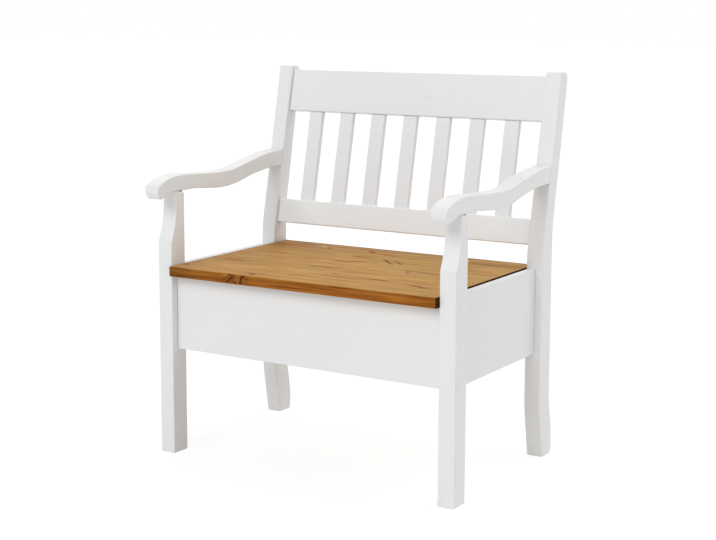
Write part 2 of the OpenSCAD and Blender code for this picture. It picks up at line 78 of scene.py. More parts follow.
# An inset outline moves a sharp corner by no more than its distance divided by this
LEAST_INSET_SHARE = 0.5


def side_outline(node, x):
    """The largest closed outline of a node's flat end face at this x, as (y, z) pairs, anticlockwise."""
    mesh = nodes[node].data
    edges = set()
    for face in mesh.polygons:
        corners = [mesh.vertices[i].co for i in face.vertices]
        if all(abs(c.x - x) < FLAT for c in corners):
            keys = [(round(c.y, PLACE_DIGITS), round(c.z, PLACE_DIGITS)) for c in corners]
            for edge in zip(keys, keys[1:] + keys[:1]):
                if edge[::-1] in edges:
                    edges.remove(edge[::-1])
                else:
                    edges.add(edge)
    following = dict(edges)
    loops = []
    while following:
        start = min(following)
        loop = [start]
        at = following.pop(start)
        while at != start and at in following:
            loop.append(at)
            at = following.pop(at)
        loops.append(loop)
    best = max(loops, key=lambda loop: abs(area(loop)))
    return best if area(best) > 0 else best[::-1]


def area(loop):
    """The area inside a closed outline, above zero where it runs anticlockwise."""
    return sum(a[0] * b[1] - b[0] * a[1] for a, b in zip(loop, loop[1:] + loop[:1])) / 2


def turn_at(a, b, c):
    """How far a path through three points turns at the middle one, in degrees."""
    u, v = Vector(b) - Vector(a), Vector(c) - Vector(b)
    return math.degrees(abs(u.angle_signed(v)))


def without_flat_points(loop):
    """The outline without double points and points in the middle of straight runs."""
    kept = []
    for i, p in enumerate(loop):
        a, c = loop[i - 1], loop[(i + 1) % len(loop)]
        if (Vector(p) - Vector(a)).length > FLAT and turn_at(a, p, c) > STRAIGHT_TURN:
            kept.append(p)
    return kept


def is_corner(loop, i):
    """True where the outline turns sharply, or clearly turns far from the points on both sides."""
    a, b, c = loop[i - 1], loop[i], loop[(i + 1) % len(loop)]
    turn = turn_at(a, b, c)
    reach = min((Vector(b) - Vector(a)).length, (Vector(c) - Vector(b)).length)
    return turn > SHARP_TURN or turn > SLIGHT_TURN and reach > SLIGHT_TURN_REACH


def curve_place(a, b, leaving, arriving, t):
    """The place at t, from 0 to 1, on the cubic curve from a to b with these end tangents."""
    return ((2 * t ** 3 - 3 * t ** 2 + 1) * a + (t ** 3 - 2 * t ** 2 + t) * leaving
            + (3 * t ** 2 - 2 * t ** 3) * b + (t ** 3 - t ** 2) * arriving)


def refined(loop):
    """Adds points on smooth curves to curved runs, inside the box. Returns points and corner flags."""
    count = len(loop)
    points = [Vector(p) for p in loop]
    low, high = ([pick(p[k] for p in loop) for k in range(2)] for pick in (min, max))
    corner = [is_corner(loop, i) for i in range(count)]
    chord = [points[(i + 1) % count] - points[i] for i in range(count)]

    def tangent(i, side):
        before, after = chord[i - 1], chord[i]
        if corner[i]:
            return (after if side > 0 else before).normalized()
        if after.length > LONG:
            return after.normalized()
        if before.length > LONG:
            return before.normalized()
        return (before.normalized() / before.length + after.normalized() / after.length).normalized()

    out, flags = [], []
    for i in range(count):
        out.append(points[i])
        flags.append(corner[i])
        length = chord[i].length
        if length > LONG:
            continue
        after = (i + 1) % count
        leaving, arriving = tangent(i, 1) * length, tangent(after, -1) * length
        steps = max(1, min(MOST_CURVE_STEPS, round(length / CURVE_STEP)))
        for k in range(1, steps):
            place = curve_place(points[i], points[after], leaving, arriving, k / steps)
            out.append(Vector([min(max(place[k], low[k]), high[k]) for k in range(2)]))
            flags.append(False)
    return out, flags


def walk(points, start, way, distance):
    """The place this far along a closed outline from one of its points, and the points passed."""
    count = len(points)
    at, passed = start, set()
    step = points[(at + way) % count] - points[at]
    while step.length <= distance:
        distance -= step.length
        at = (at + way) % count
        passed.add(at)
        step = points[(at + way) % count] - points[at]
    return points[at] + step.normalized() * distance, passed


def rounded(points, flags, radius):
    """Corners get an arc of about this radius. Returns points and how near each is to an arc's middle."""
    count = len(points)
    arcs, skipped = {}, set()
    for i in range(count):
        if flags[i]:
            turn = math.radians(turn_at(points[i - 1], points[i], points[(i + 1) % count]))
            ends = [walk(points, i, way, radius * math.tan(turn / 2)) for way in (-1, 1)]
            arcs[i] = [place for place, passed in ends]
            skipped.update(*(passed for place, passed in ends))
    out, near = [], []
    for i in range(count):
        if i in arcs:
            a, b = arcs[i]
            middle = (a + b) / 2
            half_chord, depth = (b - a).length / 2, (points[i] - middle).length
            centre = middle + (middle - points[i]).normalized() * (half_chord ** 2 / depth)
            angle = (b - centre).angle_signed(a - centre)
            for k in range(ARC_STEPS + 1):
                turned = Matrix.Rotation(angle * k / ARC_STEPS, 2) @ (a - centre)
                out.append(centre + turned)
                near.append(math.sin(math.pi * k / ARC_STEPS))
        elif i not in skipped:
            out.append(points[i])
            near.append(0.0)
    return out, near


def inset(points, distance):
    """The closed outline moved inwards."""
    count = len(points)
    out = []
    for i in range(count):
        u = (points[i] - points[i - 1]).normalized()
        v = (points[(i + 1) % count] - points[i]).normalized()
        inward = Vector((-u.y, u.x))
        n = (inward + Vector((-v.y, v.x))).normalized()
        out.append(points[i] + n * (distance / max(LEAST_INSET_SHARE, n.dot(inward))))
    return out


# Meshes

SHARP = math.radians(38)
WELD = 1e-6
EASE_STEPS = 4
BOARD_EASE_STEPS = 3
INNER_EASE_STEPS = 2
ROUND_PROFILE = 0.5
# A vertex nearer a flat face than this share of the ease counts as on the face and not on the arris
FACE_SHARE = 0.02
# Flat ends get triangles only inside their outline; points this near each other are one
TRIANGLES_INSIDE = 1
OUTLINE_TOUCH = 1e-7
RECESS_TOUCH = 1e-9


def new_object(name, data):
    """An object in the scene that shows this mesh, lamp or camera."""
    thing = bpy.data.objects.new(name, data)
    bpy.context.scene.collection.objects.link(thing)
    return thing


def new_mesh(name, bm):
    """A mesh that takes over what was built."""
    mesh = bpy.data.meshes.new(name)
    bm.to_mesh(mesh)
    bm.free()
    return mesh


def finish_piece(name, bm, material, body, replaced):
    """Makes a piece of the scene from a mesh, with even shading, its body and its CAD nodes."""
    bmesh.ops.recalc_face_normals(bm, faces=bm.faces)
    for face in bm.faces:
        face.smooth = True
    for edge in bm.edges:
        edge.smooth = edge.calc_face_angle(0) < SHARP
    piece = new_object(name, new_mesh(name, bm))
    piece.data.materials.append(material)
    shade = piece.modifiers.new("even_shading", "WEIGHTED_NORMAL")
    shade.keep_sharp = True
    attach(piece, body)
    if replaced:
        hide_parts(*replaced)


def bridge(bm, a, b):
    """Faces between two closed rings of as many vertices."""
    for i in range(len(a)):
        j = (i + 1) % len(a)
        bm.faces.new((a[i], a[j], b[j], b[i]))


def ring_edges(count, first=0):
    """The edges of a closed ring as pairs of numbers."""
    return [(first + i, first + (i + 1) % count) for i in range(count)]


def close_end(bm, ring):
    """Triangles over a ring of vertices that lie in one plane across the bench."""
    flat = [Vector((v.co.y, v.co.z)) for v in ring]
    edges = ring_edges(len(ring))
    places, _, triangles, sources, _, _ = delaunay_2d_cdt(flat, edges, [], TRIANGLES_INSIDE, OUTLINE_TOUCH)
    corners = [ring[source[0]] if source else bm.verts.new((ring[0].co.x, place.x, place.y))
               for place, source in zip(places, sources)]
    for triangle in triangles:
        bm.faces.new([corners[i] for i in triangle])


def swept_bm(points, near, low, high, ease):
    """An outline in depth and height swept from x = low to x = high, with the edges of both ends eased."""
    bm = bmesh.new()
    worn = bm.verts.layers.float.new("arris")
    stations = []
    for k in range(EASE_STEPS + 1):
        angle = math.pi / 2 * k / EASE_STEPS
        depth = ease * (1 - math.sin(angle))
        stations.append((low + ease * (1 - math.cos(angle)), depth, math.sin(2 * angle)))
    stations += [(low + high - x, depth, wear) for x, depth, wear in reversed(stations)]
    turns = []
    for x, depth, wear in stations:
        turn = []
        for p, close in zip(inset(points, depth), near):
            v = bm.verts.new((x, p.x, p.y))
            v[worn] = max(wear, close)
            turn.append(v)
        turns.append(turn)
    for a, b in zip(turns, turns[1:]):
        bridge(bm, a, b)
    close_end(bm, turns[0])
    close_end(bm, turns[-1])
    return bm


def ease_edges(bm, edges, ease, steps):
    """Rounds these edges of a mesh."""
    bmesh.ops.bevel(bm, geom=edges, offset=ease, segments=steps, profile=ROUND_PROFILE, affect="EDGES",
                    clamp_overlap=True)


def board_bm(low, high, ease):
    """A board between two corners with all edges eased."""
    bm = bmesh.new()
    bmesh.ops.create_cube(bm, size=1)
    size = high - low
    for v in bm.verts:
        v.co = Vector([(low[k] + high[k]) / 2 + v.co[k] * size[k] for k in range(3)])
    ease_edges(bm, list(bm.edges), ease, BOARD_EASE_STEPS)
    worn = bm.verts.layers.float.new("arris")
    for v in bm.verts:
        shares = [min(v.co[k] - low[k], high[k] - v.co[k]) / ease for k in range(3)]
        v[worn] = float(any(FACE_SHARE < share < 1 - FACE_SHARE for share in shares))
    return bm


def add_prism(bm, profile, low_x, high_x):
    """A solid with this profile in depth and height between two places across the bench."""
    ends = [[bm.verts.new((x, y, z)) for y, z in profile] for x in (low_x, high_x)]
    for ring in ends:
        bm.faces.new(ring)
    bridge(bm, *ends)


def carved(bm, cutter):
    """The first shape with the second taken out of it."""
    things = []
    for part in (bm, cutter):
        bmesh.ops.recalc_face_normals(part, faces=part.faces)
        things.append(new_object("carving", new_mesh("carving", part)))
    cut = things[0].modifiers.new("cut", "BOOLEAN")
    cut.operation = "DIFFERENCE"
    cut.solver = "EXACT"
    cut.object = things[1]
    result = bmesh.new()
    result.from_mesh(things[0].evaluated_get(bpy.context.evaluated_depsgraph_get()).to_mesh())
    for thing in things:
        mesh = thing.data
        bpy.data.objects.remove(thing)
        bpy.data.meshes.remove(mesh)
    return result


def welded_copy(node):
    """The node's own solids as a mesh whose faces share their vertices."""
    bm = bmesh.new()
    bm.from_mesh(nodes[node].data)
    bmesh.ops.remove_doubles(bm, verts=bm.verts, dist=WELD)
    return bm


def eased_copy(node, ease, shortest):
    """The node's own solid with the square edges above a length eased; its screw holes stay."""
    bm = welded_copy(node)
    square = [edge for edge in bm.edges
              if edge.is_manifold and edge.calc_face_angle(0) > SHARP and edge.calc_length() > shortest]
    ease_edges(bm, square, ease, INNER_EASE_STEPS)
    return bm


def separate_solids(node):
    """The vertex places of each separate solid in a node."""
    bm = welded_copy(node)
    seen, solids = set(), []
    for start in bm.verts:
        if start in seen:
            continue
        seen.add(start)
        solid, queue = [], [start]
        while queue:
            v = queue.pop()
            solid.append(v.co.copy())
            for edge in v.link_edges:
                other = edge.other_vert(v)
                if other not in seen:
                    seen.add(other)
                    queue.append(other)
        solids.append(solid)
    bm.free()
    return solids


def box_of(places):
    """The lowest and the highest corner of the box round some places."""
    return [Vector([pick(place[k] for place in places) for k in range(3)]) for pick in (min, max)]


# Room in the seat boards for the hinges

LEAF_CLEARANCE = 0.0003
SEAM_CLEARANCE = 0.0002
CUTTER_RISE = 0.002
KNUCKLE_STEPS = 12


def hinge_cutter(leaf_names, side):
    """The room that knuckles and leaves need in a seat board; side is -1 for the lid and 1 for the strip."""
    bm = bmesh.new()
    for name in leaf_names:
        low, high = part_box(name)
        radius = (high.y - low.y) / 2 + LEAF_CLEARANCE
        foot = [v.co.y for v in nodes[name].data.vertices if v.co.z < low.z + FLAT]
        flat = side * max(side * y for y in foot)
        beyond = hinge_at.y - side * SEAM_CLEARANCE
        start = math.acos(abs(flat - hinge_at.y) / radius)
        profile = [(beyond, low.z - LEAF_CLEARANCE), (flat, low.z - LEAF_CLEARANCE)]
        for k in range(KNUCKLE_STEPS + 1):
            angle = start * (1 - k / KNUCKLE_STEPS)
            out, down = radius * math.cos(angle), radius * math.sin(angle)
            profile.append((hinge_at.y + side * out, hinge_at.z - down))
        top = hinge_at.z + CUTTER_RISE
        profile += [(hinge_at.y + side * radius, top), (beyond, top)]
        add_prism(bm, profile, low.x - LEAF_CLEARANCE, high.x + LEAF_CLEARANCE)
    return bm


# Screws. Sizes of the head and its recess are shares of the head's radius

SCREW_SIDES = 32
HEAD_LIP = 0.07
POINT_SHARE = 0.3
CROSS_ARM = 0.56
CROSS_HALF_WIDTH = 0.13
CROSS_FLOOR = 0.5
CROSS_DEPTH = 0.5
QUARTER_TURNS = ((1, 0), (0, 1), (-1, 0), (0, -1))


def screws_bm(node):
    """The screws of a node, each countersunk with a cross recess in its head."""
    bm = bmesh.new()
    for solid in separate_solids(node):
        low, high = box_of(solid)
        size, middle = high - low, (low + high) / 2
        axis = max(range(3), key=lambda k: size[k])
        reach = {}
        for end in (low[axis], high[axis]):
            reach[end] = max(Vector([c[k] - middle[k] for k in range(3) if k != axis]).length
                             for c in solid if abs(c[axis] - end) < FLAT)
        top = max(reach, key=reach.get)
        head, shank = reach[top], min(reach.values())
        tip = low[axis] + high[axis] - top
        out = Vector([0, 0, 0])
        out[axis] = 1 if top > tip else -1
        base = middle.copy()
        base[axis] = top
        turn = out.to_track_quat("Z", "Y").to_matrix().to_4x4()
        add_screw(bm, Matrix.Translation(base) @ turn, abs(top - tip), head, shank)
    return bm


def circle(bm, radius, height):
    """A ring of vertices round the upright axis."""
    angles = [2 * math.pi * i / SCREW_SIDES for i in range(SCREW_SIDES)]
    return [bm.verts.new((radius * math.cos(angle), radius * math.sin(angle), height)) for angle in angles]


def add_screw(bm, place, length, head, shank):
    """One screw that points down from its place; head and shank are radii."""
    before = set(bm.verts)
    lip = HEAD_LIP * head
    stations = [(head - lip, 0), (head, -lip), (shank, shank - head), (shank, 2 * shank - length),
                (POINT_SHARE * shank, -length)]
    turned = [circle(bm, radius, height) for radius, height in stations]
    for a, b in zip(turned, turned[1:]):
        bridge(bm, a, b)
    bm.faces.new(turned[-1])
    add_recess(bm, turned[0], head)
    bmesh.ops.transform(bm, matrix=place, verts=[v for v in bm.verts if v not in before])


def add_recess(bm, rim, head):
    """The cross recess, and the flat of the head between it and the head's rim."""
    arm, half = CROSS_ARM * head, CROSS_HALF_WIDTH * head
    quarter = [(arm, -half), (arm, half), (half, half)]
    cross = [(x * c - y * s, x * s + y * c) for c, s in QUARTER_TURNS for x, y in quarter]
    mouth = [bm.verts.new((x, y, 0)) for x, y in cross]
    floor = [bm.verts.new((CROSS_FLOOR * x, CROSS_FLOOR * y, -CROSS_DEPTH * head)) for x, y in cross]
    bridge(bm, mouth, floor)
    bm.faces.new(floor)
    corners = rim + mouth
    flat = [v.co.xy for v in corners]
    edges = ring_edges(len(rim)) + ring_edges(len(mouth), len(rim))
    _, _, triangles, sources, _, _ = delaunay_2d_cdt(flat, edges, [], TRIANGLES_INSIDE, RECESS_TOUCH)
    for triangle in triangles:
        three = [corners[sources[i][0]] for i in triangle]
        centre = (three[0].co + three[1].co + three[2].co) / 3
        x, y = abs(centre.x), abs(centre.y)
        in_cross = x < arm and y < half or y < arm and x < half
        if not in_cross:
            bm.faces.new(three)


# Shader nodes. A range or an edge is the two values between which something fades in

def put(tree, kind, inputs=None, **settings):
    """A new shader node. Inputs are values or sockets by name or number."""
    node = tree.nodes.new("ShaderNode" + kind)
    for key, value in settings.items():
        setattr(node, key, value)
    for key, value in (inputs or {}).items():
        if isinstance(value, bpy.types.NodeSocket):
            tree.links.new(value, node.inputs[key])
        else:
            node.inputs[key].default_value = value
    return node


def calc(tree, operation, *values):
    return put(tree, "Math", dict(enumerate(values)), operation=operation).outputs[0]


def times(tree, a, b):
    return calc(tree, "MULTIPLY", a, b)


def scaled(tree, vector, factors, offset=(0, 0, 0)):
    """The vector times the factors plus the offset."""
    return put(tree, "VectorMath", {0: vector, 1: factors, 2: offset}, operation="MULTIPLY_ADD").outputs[0]


def length_of(tree, vector):
    return put(tree, "VectorMath", {0: vector}, operation="LENGTH").outputs["Value"]


def flat_place(tree, first, second):
    return put(tree, "CombineXYZ", {0: first, 1: second}).outputs[0]


def noise(tree, vector, scale, offset=(0, 0, 0), detail=3, roughness=0.6, distortion=0, result="Fac"):
    """Noise that changes about this many times per metre along each axis; the offset moves it."""
    inputs = {"Vector": scaled(tree, vector, scale, offset), "Scale": 1, "Detail": detail,
              "Roughness": roughness, "Distortion": distortion}
    return put(tree, "TexNoise", inputs).outputs[result]


def fade(tree, value, low, high):
    """0 below low, 1 above high, smooth between; low may be the higher number."""
    turned = low > high
    inputs = {"Value": value, "From Min": min(low, high), "From Max": max(low, high),
              "To Min": float(turned), "To Max": float(not turned)}
    return put(tree, "MapRange", inputs, interpolation_type="SMOOTHSTEP").outputs[0]


def near_face(tree, place, face, distances):
    """0 far inside a face and 1 at it: it starts and is complete at two distances from the face."""
    start, full = distances
    return fade(tree, place, face - start, face - full)


def spread(tree, value, low, high):
    """A field from 0 to 1 brought to the range from low to high."""
    return put(tree, "MapRange", {"Value": value, "To Min": low, "To Max": high}).outputs[0]


def blend(tree, factor, a, b, kind="MIX"):
    """Colour a where the factor is 0 and b where it is 1."""
    node = put(tree, "Mix", {0: factor}, data_type="RGBA", blend_type=kind)
    ends = [socket for socket in node.inputs if socket.type == "RGBA"]
    for socket, value in zip(ends, (a, b)):
        if isinstance(value, bpy.types.NodeSocket):
            tree.links.new(value, socket)
        else:
            socket.default_value = (*value, 1)
    return next(out for out in node.outputs if out.type == "RGBA")


def tinted(tree, colour, tint):
    """The colour multiplied by a tint."""
    return blend(tree, 1.0, colour, tint, "MULTIPLY")


def new_material(name):
    """A material, its node tree and its shader."""
    material = bpy.data.materials.new(name)
    material.use_nodes = True
    tree = material.node_tree
    return material, tree, tree.nodes["Principled BSDF"]


def dress(tree, shader, colour, roughness, height, distance, strength):
    """Gives a shader its colour, its roughness and a relief."""
    relief = put(tree, "Bump", {"Height": height, "Distance": distance, "Strength": strength})
    tree.links.new(colour, shader.inputs["Base Color"])
    tree.links.new(roughness, shader.inputs["Roughness"])
    tree.links.new(relief.outputs[0], shader.inputs["Normal"])


def ellipse(tree, plane, place, x, across, length, width, turn=0.0):
    """Distance from the middle of an ellipse on the plane, 1 at its edge. Lengths are in millimetres, and
    place turns the one across the grain into a place of the plane."""
    inputs = {"Vector": plane, "Location": (x * MM, place(across), 0), "Scale": (length * MM, width * MM, 1),
              "Rotation": (0, 0, math.radians(turn))}
    return length_of(tree, put(tree, "Mapping", inputs, vector_type="TEXTURE").outputs[0])


# Growth of the wood

PITH_WAVER = 0.05
WAVER_ACROSS = 5
LATE_WOOD_START, LATE_WOOD_FULL = 0.25, 0.85
LATE_WOOD_END = 0.9


def along_grain(tree, axis):
    """The piece's own coordinates turned so that the first runs along the grain, and the plain ones."""
    plain = put(tree, "TexCoord").outputs["Object"]
    parts = put(tree, "SeparateXYZ", {0: plain})
    order = [(axis + k) % 3 for k in range(3)]
    turned = put(tree, "CombineXYZ", {k: parts.outputs[order[k]] for k in range(3)}).outputs[0]
    return turned, parts.outputs


def rings(tree, grain, pith, spacing, taper):
    """Growth rings round a wavering pith line along the grain: 0 in early wood up to 1 in late wood."""
    slow = noise(tree, grain, (taper, WAVER_ACROSS, WAVER_ACROSS), detail=2, roughness=0.5, result="Color")
    half = PITH_WAVER / 2
    drift = scaled(tree, slow, (0, PITH_WAVER, PITH_WAVER), (0, -half - pith[0], -half - pith[1]))
    moved = put(tree, "VectorMath", {0: grain, 1: drift}, operation="ADD").outputs[0]
    away = length_of(tree, scaled(tree, moved, (0, 1, 1)))
    part = calc(tree, "FRACT", calc(tree, "DIVIDE", away, spacing))
    rise = fade(tree, part, LATE_WOOD_START, LATE_WOOD_FULL)
    fall = fade(tree, part, 1.0, LATE_WOOD_END)
    return times(tree, rise, fall)


# Paint over pine. Light and shade are the two ends of its slow change of colour

PAINT = {"light": (0.868, 0.872, 0.875), "shade": (0.836, 0.84, 0.842)}
# Crest rail, lower rail and slats get copies of the paint made cooler: painted light that cancels the warm light
# bounced from the seat. The lower rail's copy is also lighter: painted fill light
CREST_PAINT_WITH_PAINTED_LIGHT = {"light": (0.872, 0.88, 0.892), "shade": (0.842, 0.849, 0.86)}
LOWER_RAIL_PAINT_WITH_PAINTED_LIGHT = {"light": (0.905, 0.93, 0.95), "shade": (0.875, 0.9, 0.918)}
SLAT_PAINT_WITH_PAINTED_LIGHT = {"light": (0.866, 0.88, 0.902), "shade": (0.834, 0.847, 0.868)}
PAINT_RINGS = {"pith": (0.09, 0.05), "spacing": 0.0062, "taper": 0.9}
BROAD_CHANGE = {"scale": (2.2, 14, 14), "offset": (3, 1, 5), "roughness": 0.5}
PAINTED_FIBRE = {"scale": (16, 420, 420)}
PAINT_PEEL = {"scale": (260, 260, 260), "detail": 2, "roughness": 0.5}
WEAR_PATCHES = {"scale": (22, 60, 60), "offset": (9, 4, 2), "detail": 4, "roughness": 0.65}
LATE_WOOD_TONE, LATE_WOOD_SHOWS = (0.7, 0.68, 0.63), 0.06
FIBRE_TONE, FIBRE_RANGE, FIBRE_SHOWS = (0.66, 0.64, 0.6), (0.56, 0.74), 0.08
WORN_TONE, WEAR_RANGE, WEAR = (0.74, 0.7, 0.62), (0.5, 0.72), 0.45
LATE_RELIEF, FIBRE_RELIEF, PEEL_RELIEF = 0.28, 0.4, 0.22
PAINT_ROUGHNESS = (0.24, 0.34)
PAINT_SPECULAR = 0.45
# A knot under the paint: place across and in height, half width, strength. It is flatter than a circle
CREST_KNOT = (0.052, 0.845, 0.016, 0.1)
KNOT_TONE, KNOT_EDGE, KNOT_FLATNESS = (0.62, 0.55, 0.44), (1, 0.35), 1.7
# A painted shadow line, for the shade in the crevice under the crest rail, starts and is complete this far
# under the place where a slat meets the crest rail
JOINT_SHADE_DISTANCES = (0.0024, 0.0008)
JOINT_SHADE_TONE, JOINT_SHADE_STRENGTH = (0.36, 0.35, 0.34), 0.6


def painted_pine(name, axis, light, shade, knot=None, joint_shade=None):
    """White satin paint over pine: the grain shows faintly, with a little wear along the arrises. A joint shade is
    the lean of the back and the height in its leaning frame of a painted shadow line where two pieces meet."""
    material, tree, shader = new_material(name)
    grain, parts = along_grain(tree, axis)
    late = rings(tree, grain, **PAINT_RINGS)
    broad = noise(tree, grain, **BROAD_CHANGE)
    fibre = noise(tree, grain, **PAINTED_FIBRE)
    peel = noise(tree, grain, **PAINT_PEEL)
    worn = put(tree, "Attribute", attribute_name="arris").outputs["Fac"]
    patches = fade(tree, noise(tree, grain, **WEAR_PATCHES), *WEAR_RANGE)
    colour = blend(tree, broad, shade, light)
    colour = blend(tree, times(tree, late, LATE_WOOD_SHOWS), colour, LATE_WOOD_TONE)
    colour = blend(tree, times(tree, fade(tree, fibre, *FIBRE_RANGE), FIBRE_SHOWS), colour, FIBRE_TONE)
    colour = blend(tree, times(tree, times(tree, worn, patches), WEAR), colour, WORN_TONE)
    if knot:
        colour = with_knot(tree, parts, colour, *knot)
    if joint_shade:
        colour = with_painted_joint_shade(tree, parts, colour, *joint_shade)
    shader.inputs["Specular IOR Level"].default_value = PAINT_SPECULAR
    roughness = spread(tree, broad, *PAINT_ROUGHNESS)
    height = calc(tree, "MULTIPLY_ADD", late, LATE_RELIEF, times(tree, fibre, FIBRE_RELIEF))
    height = calc(tree, "MULTIPLY_ADD", peel, PEEL_RELIEF, height)
    dress(tree, shader, colour, roughness, height, distance=0.0003, strength=0.4)
    return material


def with_knot(tree, parts, colour, x, z, size, strength):
    """The paint with a knot that shows through it."""
    local = scaled(tree, flat_place(tree, parts[0], parts[2]), (1 / size, KNOT_FLATNESS / size, 0),
                   (-x / size, -KNOT_FLATNESS * z / size, 0))
    spot = times(tree, fade(tree, length_of(tree, local), *KNOT_EDGE), strength)
    return blend(tree, spot, colour, KNOT_TONE)


def with_painted_joint_shade(tree, parts, colour, lean, height):
    """The paint with a painted shadow line just under this height of the leaning back, under the crest rail."""
    up = calc(tree, "MULTIPLY_ADD", parts[1], math.sin(lean), times(tree, parts[2], math.cos(lean)))
    shade_line = times(tree, near_face(tree, up, height, JOINT_SHADE_DISTANCES), JOINT_SHADE_STRENGTH)
    return blend(tree, shade_line, colour, JOINT_SHADE_TONE)


# Pine whose wood shows

AREAS = {"scale": (1.6, 11, 11), "offset": (2, 7, 1), "roughness": 0.55}
BANDS = {"scale": (6, 115, 115), "offset": (5, 0, 3), "distortion": 0.3}
FIBRES = {"scale": (14, 480, 480)}
STREAKS = {"scale": (11, 82, 82), "offset": (1, 3, 8), "roughness": 0.55, "distortion": 0.5}
WOOD_TAPER = 1.3
DARKER_BANDS, BANDS_RANGE = (0.76, 0.68, 0.54), (0.4, 0.64)
PALER_AREAS, AREAS_RANGE = (1.12, 1.1, 1.04), (0.3, 0.72)
DARK_FIBRE_RANGE, FIBRE_DARK = (0.52, 0.72), 0.3
STREAK_RANGE = (0.62, 0.74)
RING_RELIEF, WOOD_FIBRE_RELIEF = 0.6, 0.5
SMOOTHER, ROUGHER = 0.07, 0.09
WOOD_SPECULAR = 0.06


def clear_pine(name, axis, early, late, dark, pith, ring_width, contrast, rough, streaks, extra=None):
    """Pine whose wood shows: growth rings, fibres and dark streaks. Early, late and dark are colours, and
    extra adds what one kind of board has besides."""
    material, tree, shader = new_material(name)
    grain, parts = along_grain(tree, axis)
    late_wood = rings(tree, grain, pith, ring_width, WOOD_TAPER)
    fibre = noise(tree, grain, **FIBRES)
    streak_field = noise(tree, grain, **STREAKS)
    darker = fade(tree, noise(tree, grain, **BANDS), *BANDS_RANGE)
    paler = fade(tree, noise(tree, grain, **AREAS), *AREAS_RANGE)
    colour = blend(tree, times(tree, late_wood, contrast), early, late)
    colour = blend(tree, darker, colour, tinted(tree, colour, DARKER_BANDS))
    colour = blend(tree, paler, colour, tinted(tree, colour, PALER_AREAS))
    colour = blend(tree, times(tree, fade(tree, fibre, *DARK_FIBRE_RANGE), FIBRE_DARK), colour, dark)
    colour = blend(tree, times(tree, fade(tree, streak_field, *STREAK_RANGE), streaks), colour, dark)
    roughness = spread(tree, fibre, rough - SMOOTHER, rough + ROUGHER)
    if extra:
        colour, end_grain = extra(tree, parts, grain, colour, streak_field)
        roughness = calc(tree, "MAXIMUM", roughness, end_grain)
    shader.inputs["Specular IOR Level"].default_value = WOOD_SPECULAR
    height = calc(tree, "MULTIPLY_ADD", late_wood, RING_RELIEF, times(tree, fibre, WOOD_FIBRE_RELIEF))
    dress(tree, shader, colour, roughness, height, distance=0.0003, strength=0.55)
    return material


# Marks of the seat boards, in millimetres: middle across the bench, middle in depth behind the front legs'
# faces, half length, half width, turn from the grain in degrees, strength

DARK_MARKS = (
    (35, 331, 15, 3.6, -46, 1), (57, 309, 15, 3.4, -42, 0.85), (76, 320, 22, 3, -46, 0.75),
    (-24, 286, 28, 3.9, 29, 1), (-62, 273, 18, 3.4, -8, 0.95), (-70, 176, 15, 3.6, 20, 0.85),
    (-46, 181, 17, 3.4, -10, 0.85), (-22, 193, 16, 3, 26, 0.6), (153, 228, 20, 3.2, -62, 0.55),
    (178, 243, 38, 3.6, -8, 0.6), (148, 103, 23, 4.6, 6, 1), (262, 80, 26, 3.6, -18, 0.9),
    (279, 73, 8, 4, -20, 1), (-136, 13, 9, 5.5, -30, 1), (-62, 424, 16, 5, -40, 0.8),
    (22, 121, 5, 3, -40, 0.75), (-345, 36, 12, 5.5, -30, 0.8), (262, 412, 34, 4.5, 0, 0.7),
    (-215, 446, 60, 3.2, 0, 0.5), (120, 430, 70, 3, 1, 0.45), (-250, 300, 40, 2.6, 4, 0.35),
    (-150, 60, 50, 2.8, 2, 0.35), (60, 55, 60, 2.6, -2, 0.35), (230, 190, 45, 2.8, 3, 0.4),
)
RED_MARKS = (
    (2, 407, 30, 8, -18, 0.65), (-57, 350, 13, 8, -10, 0.55), (-295, 152, 26, 15, 0, 0.6),
    (170, 104, 8, 4, -10, 0.7), (-62, 430, 20, 7, -30, 0.5), (60, 392, 24, 6, -10, 0.4),
    (330, 300, 14, 6, 0, 0.5), (338, 400, 10, 14, 0, 0.4),
)
# The same with a colour that the wood is multiplied by in place of the turn
TINTS = (
    (-340, 190, 230, 330, (0.84, 0.78, 0.72), 0.8), (-305, 420, 80, 52, (0.8, 0.62, 0.44), 0.8),
    (-325, 255, 26, 95, (1.0, 0.86, 0.56), 0.6), (-170, 96, 130, 24, (1.1, 1.13, 1.1), 0.8),
    (50, 98, 85, 22, (0.8, 0.72, 0.6), 0.8), (-130, 20, 80, 16, (0.84, 0.74, 0.62), 0.8),
    (-165, 370, 60, 55, (0.92, 0.95, 1.16), 0.6), (270, 424, 95, 28, (0.8, 0.66, 0.45), 0.8),
    (-30, 60, 45, 16, (0.82, 0.76, 0.66), 0.85), (0, 462, 420, 26, (0.74, 0.66, 0.52), 0.8),
    (312, 352, 46, 42, (1.18, 1.14, 1.14), 0.8), (-35, 345, 34, 26, (0.82, 0.7, 0.6), 0.7),
    (-330, 60, 70, 40, (0.9, 0.86, 0.84), 0.7), (110, 345, 90, 60, (1.04, 1.03, 1.02), 0.7),
    (10, 20, 160, 14, (0.82, 0.76, 0.7), 0.7), (-345, -12, 55, 22, (0.76, 0.8, 0.9), 0.8),
    (35, -12, 65, 14, (1.16, 1.2, 1.2), 0.8), (20, 155, 120, 24, (0.9, 0.86, 0.86), 0.7),
    (-25, 446, 70, 16, (0.8, 0.77, 0.76), 0.8), (-32, 200, 36, 24, (0.92, 0.89, 0.9), 0.7),
    (322, 440, 40, 18, (0.86, 0.84, 0.9), 0.7), (110, 100, 40, 20, (0.92, 0.88, 0.8), 0.7),
)
